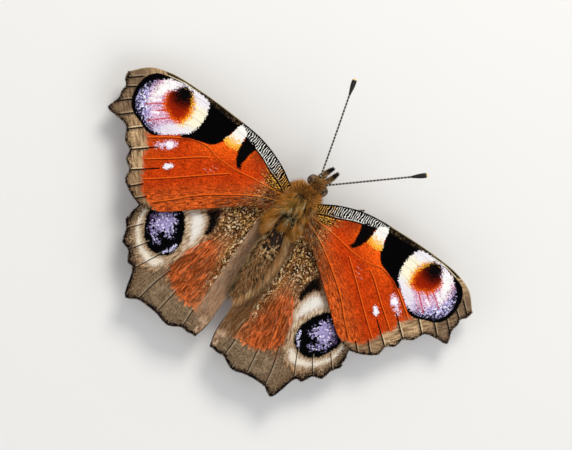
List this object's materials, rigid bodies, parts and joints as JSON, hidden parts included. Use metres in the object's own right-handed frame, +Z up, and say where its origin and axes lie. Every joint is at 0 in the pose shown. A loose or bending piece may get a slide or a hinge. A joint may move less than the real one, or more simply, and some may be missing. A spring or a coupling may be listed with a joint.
{
  "type": "peacock butterfly",
  "caption": "Life-size butterfly at rest with its four scalloped, eye-spotted wings spread flat, head turned to its right, standing on four legs.",
  "frame": {"origin": "on the floor, below the middle of the insect's outline", "axes": "+Z up, the head points to -Y, and +X is the butterfly's own left"},
  "size_m": [0.0602, 0.0432, 0.0105],
  "materials": {
    "thorax_pile": "dense rust-brown hair, olive along the middle and near black at the rear",
    "head_pile": "short brown bristling hair, black-tipped on the palps",
    "abdomen_scales": "dark brown scales speckled with black and gold",
    "eye": "glossy dark brown facets in faint bands",
    "antenna": "black shaft with fine white rings, black club with a pale tip",
    "horn": "dark amber brown horn",
    "forewing_scales": "matt rust red dusted scales with black, cream, yellow and lilac marks and a brown border",
    "hindwing_scales": "rust red and brown scales with a black and lilac eyespot and a grey-brown border",
    "leg_scales": "pale brown scales over dark horn"
  },
  "bodies": {
    "root": {"thorax": "thorax_pile", "head": "head_pile", "abdomen": "abdomen_scales", "proboscis": "horn", "eye_left": "eye", "antenna_left": "antenna", "palp_left": "head_pile", "forewing_left": "forewing_scales", "hindwing_left": "hindwing_scales", "leg_fore_left": "leg_scales", "leg_mid_left": "leg_scales", "leg_hind_left": "leg_scales", "eye_right": "eye", "antenna_right": "antenna", "palp_right": "head_pile", "forewing_right": "forewing_scales", "hindwing_right": "hindwing_scales", "leg_fore_right": "leg_scales", "leg_mid_right": "leg_scales", "leg_hind_right": "leg_scales"}
  },
  "joints": []
}
